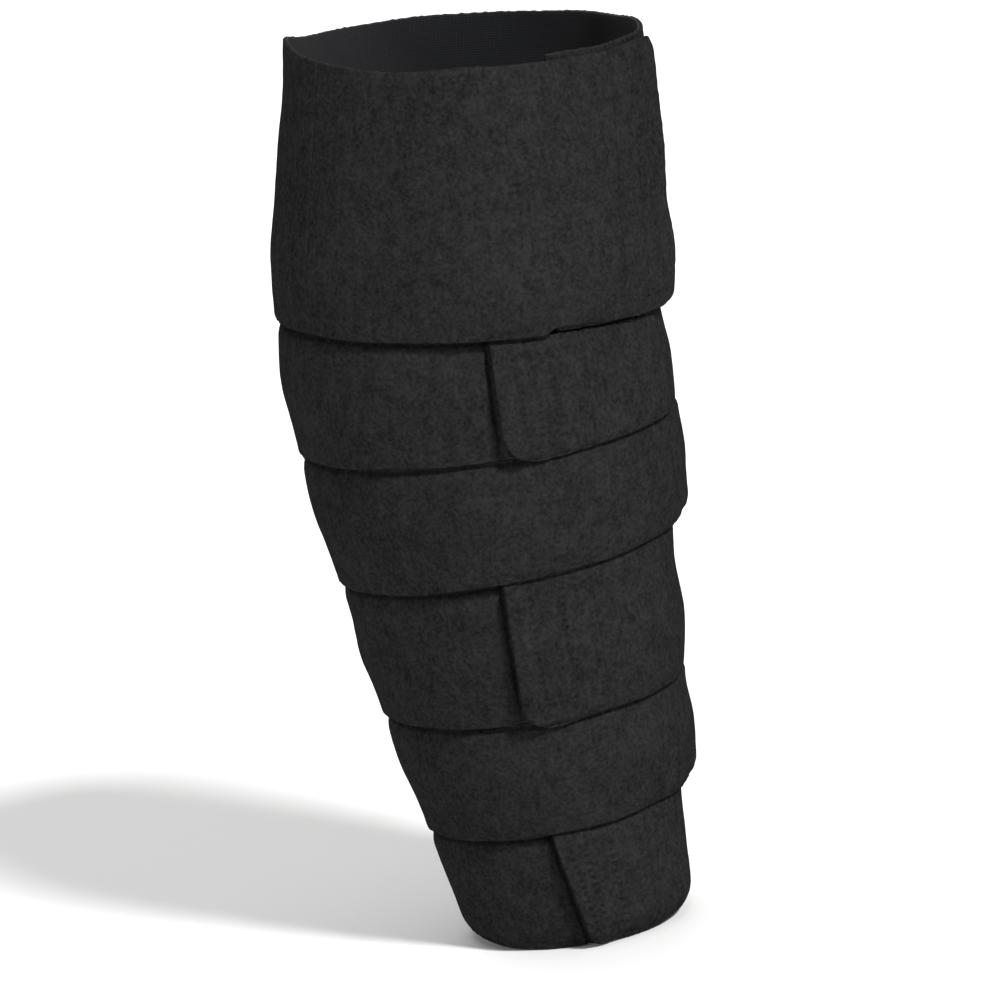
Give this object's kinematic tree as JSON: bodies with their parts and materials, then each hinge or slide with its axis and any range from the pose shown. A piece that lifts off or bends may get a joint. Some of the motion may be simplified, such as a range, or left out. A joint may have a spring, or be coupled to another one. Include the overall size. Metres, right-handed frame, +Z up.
{
  "type": "cold compression wrap",
  "caption": "Tapered lower-leg compression wrap of overlapping charcoal fabric bands with hook-and-loop tabs and an inner pocket for a gel cold pack.",
  "frame": {"origin": "centre of the bounding box at the bottom, on the plane that the lower rim stands on, which is close to the middle of the ankle opening", "axes": "+Z up along the leg from the ankle to the knee, +X towards the shin, -X towards the calf, -Y towards the side where the visible tabs end"},
  "size_m": [0.1415, 0.136, 0.3187],
  "materials": {
    "loop_fabric": "brushed unbroken-loop pile, matt charcoal black",
    "hook_tape": "woven tape with moulded hooks, matt black",
    "woven_tape": "ribbed polyester webbing, black",
    "knit_lining": "fine jersey knit, dark grey",
    "pack_film": "clear pale blue welded film",
    "cold_gel": "soft translucent blue gel"
  },
  "bodies": {
    "wrap": {"band_1_strip": "loop_fabric", "band_2_strip": "loop_fabric", "band_3_strip": "loop_fabric", "band_4_strip": "loop_fabric", "band_5_strip": "loop_fabric", "band_6_strip": "loop_fabric", "spine_tape": "woven_tape", "pocket_panel": "knit_lining", "pocket_binding": "woven_tape"},
    "arm_1": {"band_1_arm": "loop_fabric"},
    "tab_1": {"band_1_tab": "loop_fabric", "band_1_hook_patch": "hook_tape"},
    "arm_2": {"band_2_arm": "loop_fabric"},
    "tab_2": {"band_2_tab": "loop_fabric", "band_2_hook_patch": "hook_tape"},
    "arm_3": {"band_3_arm": "loop_fabric"},
    "tab_3": {"band_3_tab": "loop_fabric", "band_3_hook_patch": "hook_tape"},
    "arm_4": {"band_4_arm": "loop_fabric"},
    "tab_4": {"band_4_tab": "loop_fabric", "band_4_hook_patch": "hook_tape"},
    "arm_5": {"band_5_arm": "loop_fabric"},
    "tab_5": {"band_5_tab": "loop_fabric", "band_5_hook_patch": "hook_tape"},
    "arm_6": {"band_6_arm": "loop_fabric"},
    "tab_6": {"band_6_tab": "loop_fabric", "band_6_hook_patch": "hook_tape"},
    "cold_pack": {"cold_pack_back_film": "pack_film", "cold_pack_front_film": "pack_film", "cold_pack_gel": "cold_gel"}
  },
  "joints": [
    {"name": "arm_1_fold", "type": "hinge", "parent": "wrap", "child": "arm_1", "pos_m": [0.03887, 0.01529, 0], "axis": [0, 0, 1], "range_deg": [0, 110]},
    {"name": "tab_1_peel", "type": "hinge", "parent": "arm_1", "child": "tab_1", "pos_m": [0.02683, -0.03751, 0], "axis": [0, 0, 1], "range_deg": [0, 100]},
    {"name": "arm_2_fold", "type": "hinge", "parent": "wrap", "child": "arm_2", "pos_m": [-0.0414, -0.02684, 0.0422], "axis": [0.1281, 0.0732, -0.9891], "range_deg": [0, 110]},
    {"name": "tab_2_peel", "type": "hinge", "parent": "arm_2", "child": "tab_2", "pos_m": [0.04113, -0.02346, 0.04565], "axis": [-0.1007, 0.0662, -0.9927], "range_deg": [0, 100]},
    {"name": "arm_3_fold", "type": "hinge", "parent": "wrap", "child": "arm_3", "pos_m": [0.04711, 0.01864, 0.08494], "axis": [0.0503, 0.026, 0.9984], "range_deg": [0, 110]},
    {"name": "tab_3_peel", "type": "hinge", "parent": "arm_3", "child": "tab_3", "pos_m": [0.02088, -0.05212, 0.08513], "axis": [0.0124, -0.0701, 0.9975], "range_deg": [0, 100]},
    {"name": "arm_4_fold", "type": "hinge", "parent": "wrap", "child": "arm_4", "pos_m": [-0.05489, -0.03482, 0.13479], "axis": [0.07, 0.0443, -0.9966], "range_deg": [0, 110]},
    {"name": "tab_4_peel", "type": "hinge", "parent": "arm_4", "child": "tab_4", "pos_m": [0.05464, -0.02259, 0.139], "axis": [-0.0788, 0.0324, -0.9964], "range_deg": [0, 100]},
    {"name": "arm_5_fold", "type": "hinge", "parent": "wrap", "child": "arm_5", "pos_m": [0.05687, 0.02271, 0.17806], "axis": [0.0031, -0.0064, 1], "range_deg": [0, 110]},
    {"name": "tab_5_peel", "type": "hinge", "parent": "arm_5", "child": "tab_5", "pos_m": [0.03055, -0.05964, 0.17879], "axis": [0.0139, 0.0152, 0.9998], "range_deg": [0, 100]},
    {"name": "arm_6_fold", "type": "hinge", "parent": "wrap", "child": "arm_6", "pos_m": [-0.05962, -0.03889, 0.2279], "axis": [-0.1886, -0.0337, -0.9815], "range_deg": [0, 110]},
    {"name": "tab_6_peel", "type": "hinge", "parent": "arm_6", "child": "tab_6", "pos_m": [0.0477, -0.04806, 0.21643], "axis": [-0.0981, -0.039, -0.9944], "range_deg": [0, 100]},
    {"name": "cold_pack_slide", "type": "slide", "parent": "wrap", "child": "cold_pack", "axis": [0.1408, 0, 0.99], "range_m": [0, 0.09]}
  ]
}
